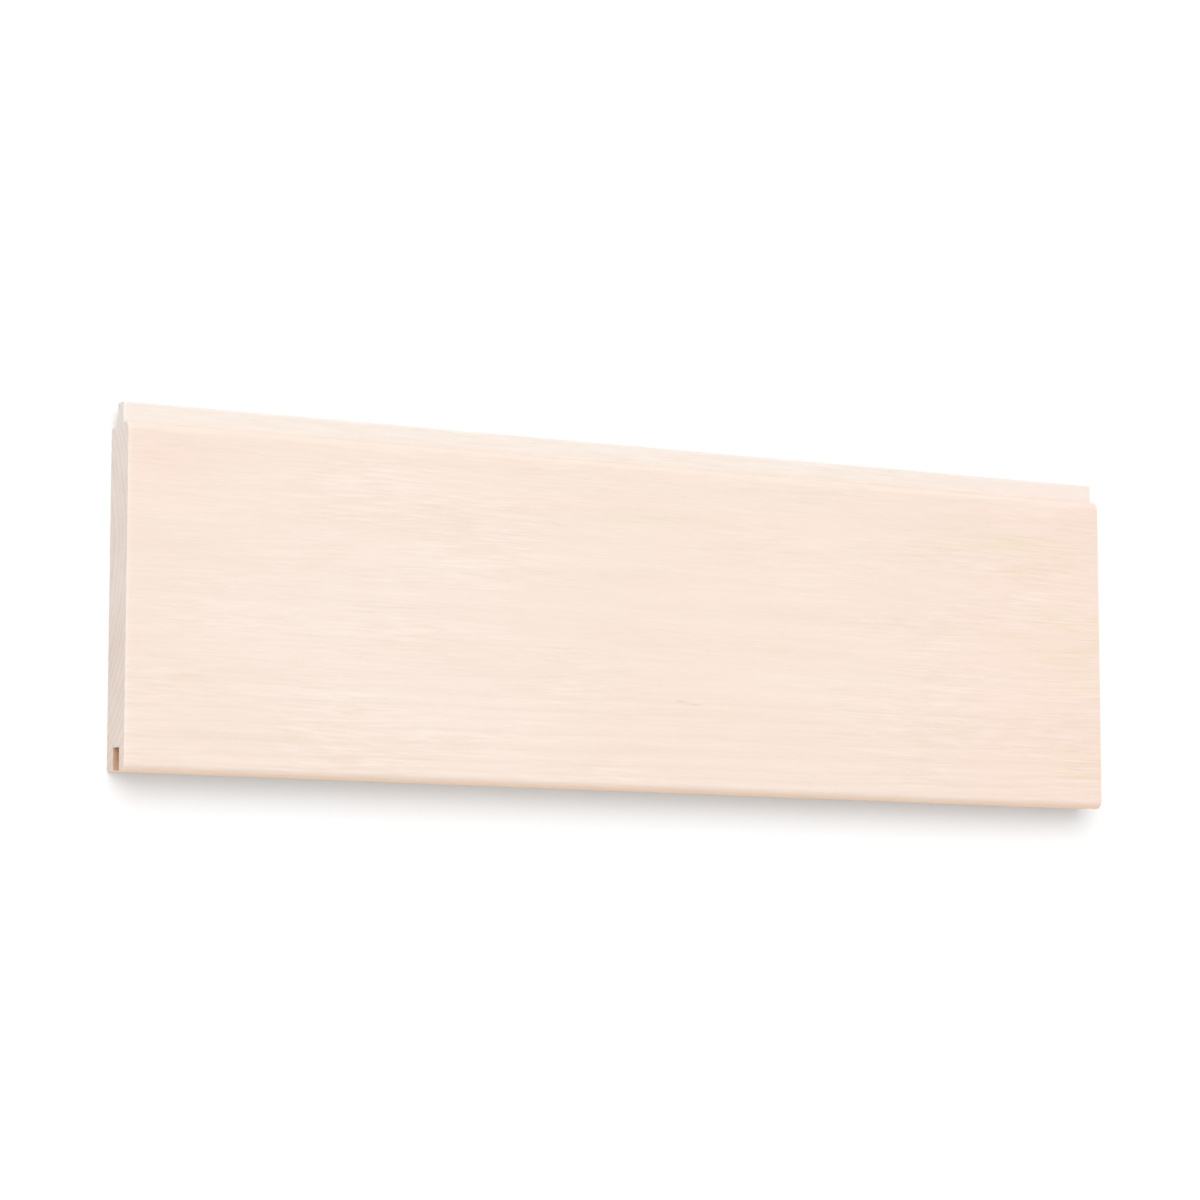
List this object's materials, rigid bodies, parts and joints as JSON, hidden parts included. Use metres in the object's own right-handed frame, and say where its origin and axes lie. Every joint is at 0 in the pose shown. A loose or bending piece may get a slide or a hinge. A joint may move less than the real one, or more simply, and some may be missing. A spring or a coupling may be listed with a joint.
{
  "type": "tongue and groove board",
  "caption": "Flat moulded timber lining board with a tongue along one long edge, a matching groove along the other and rounded face arrises, for interlocking wall or ceiling cladding.",
  "frame": {"origin": "on the back face, under the middle of the board's overall length and overall width", "axes": "+X along the grain, +Y out of the tongue, away from the groove, +Z out of the face; the board lies on its back with its face up"},
  "size_m": [0.4, 0.125, 0.015],
  "materials": {
    "timber": "planed bare timber, pale cream with a pink cast, fine even grain, satin to matt"
  },
  "bodies": {
    "root": {"board": "timber"}
  },
  "joints": []
}
